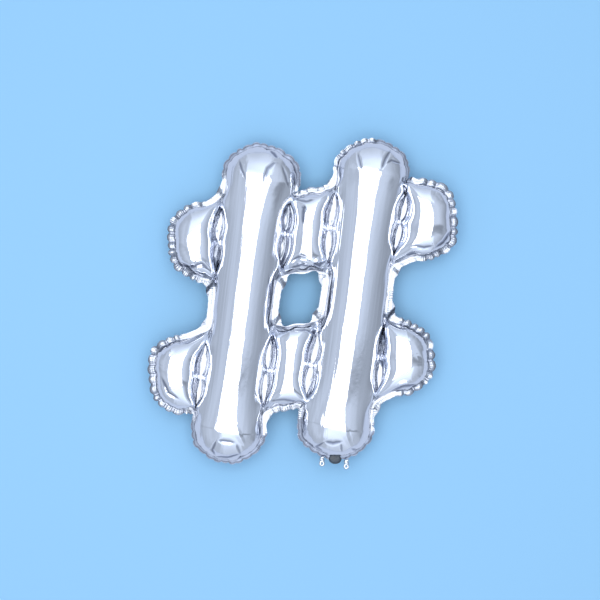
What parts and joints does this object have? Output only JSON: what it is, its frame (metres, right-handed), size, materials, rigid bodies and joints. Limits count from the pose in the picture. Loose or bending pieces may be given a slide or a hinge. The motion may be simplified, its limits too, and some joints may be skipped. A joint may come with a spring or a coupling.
{
  "type": "foil symbol balloon",
  "caption": "Air-filled foil balloon in the shape of a slanted hash sign, with puckered seam flanges, lens-shaped welds, a filling valve and hanging tabs.",
  "frame": {"origin": "centre of the bounding box's base, on the surface that the balloon lies on, back film down", "axes": "+Z out of the sign's front film, +Y towards the sign's top, +X along the two rows of chambers to the sign's right"},
  "size_m": [0.3446, 0.3576, 0.0583],
  "materials": {
    "foil": "mirror-bright silver metallised film, lightly creased",
    "sealed_foil": "flat heat-sealed silver film, slightly duller, with small puckers",
    "valve_film": "thin smoky clear plastic film"
  },
  "bodies": {
    "root": {"left_bar_front": "foil", "left_bar_back": "foil", "right_bar_front": "foil", "right_bar_back": "foil", "upper_link_front": "foil", "upper_link_back": "foil", "lower_link_front": "foil", "lower_link_back": "foil", "upper_left_arm_front": "foil", "upper_left_arm_back": "foil", "upper_right_arm_front": "foil", "upper_right_arm_back": "foil", "lower_left_arm_front": "foil", "lower_left_arm_back": "foil", "lower_right_arm_front": "foil", "lower_right_arm_back": "foil", "upper_left_outer_neck": "foil", "upper_left_inner_neck": "foil", "upper_right_inner_neck": "foil", "upper_right_outer_neck": "foil", "lower_left_outer_neck": "foil", "lower_left_inner_neck": "foil", "lower_right_inner_neck": "foil", "lower_right_outer_neck": "foil", "upper_left_outer_neck_top_weld": "sealed_foil", "upper_left_outer_neck_bottom_weld": "sealed_foil", "upper_left_inner_neck_top_weld": "sealed_foil", "upper_left_inner_neck_bottom_weld": "sealed_foil", "upper_right_inner_neck_top_weld": "sealed_foil", "upper_right_inner_neck_bottom_weld": "sealed_foil", "upper_right_outer_neck_top_weld": "sealed_foil", "upper_right_outer_neck_bottom_weld": "sealed_foil", "lower_left_outer_neck_top_weld": "sealed_foil", "lower_left_outer_neck_bottom_weld": "sealed_foil", "lower_left_inner_neck_top_weld": "sealed_foil", "lower_left_inner_neck_bottom_weld": "sealed_foil", "lower_right_inner_neck_top_weld": "sealed_foil", "lower_right_inner_neck_bottom_weld": "sealed_foil", "lower_right_outer_neck_top_weld": "sealed_foil", "lower_right_outer_neck_bottom_weld": "sealed_foil", "outer_seam_flange": "sealed_foil", "window_seam_flange": "sealed_foil", "left_hanging_tab": "sealed_foil", "right_hanging_tab": "sealed_foil", "fill_valve": "valve_film"}
  },
  "joints": []
}
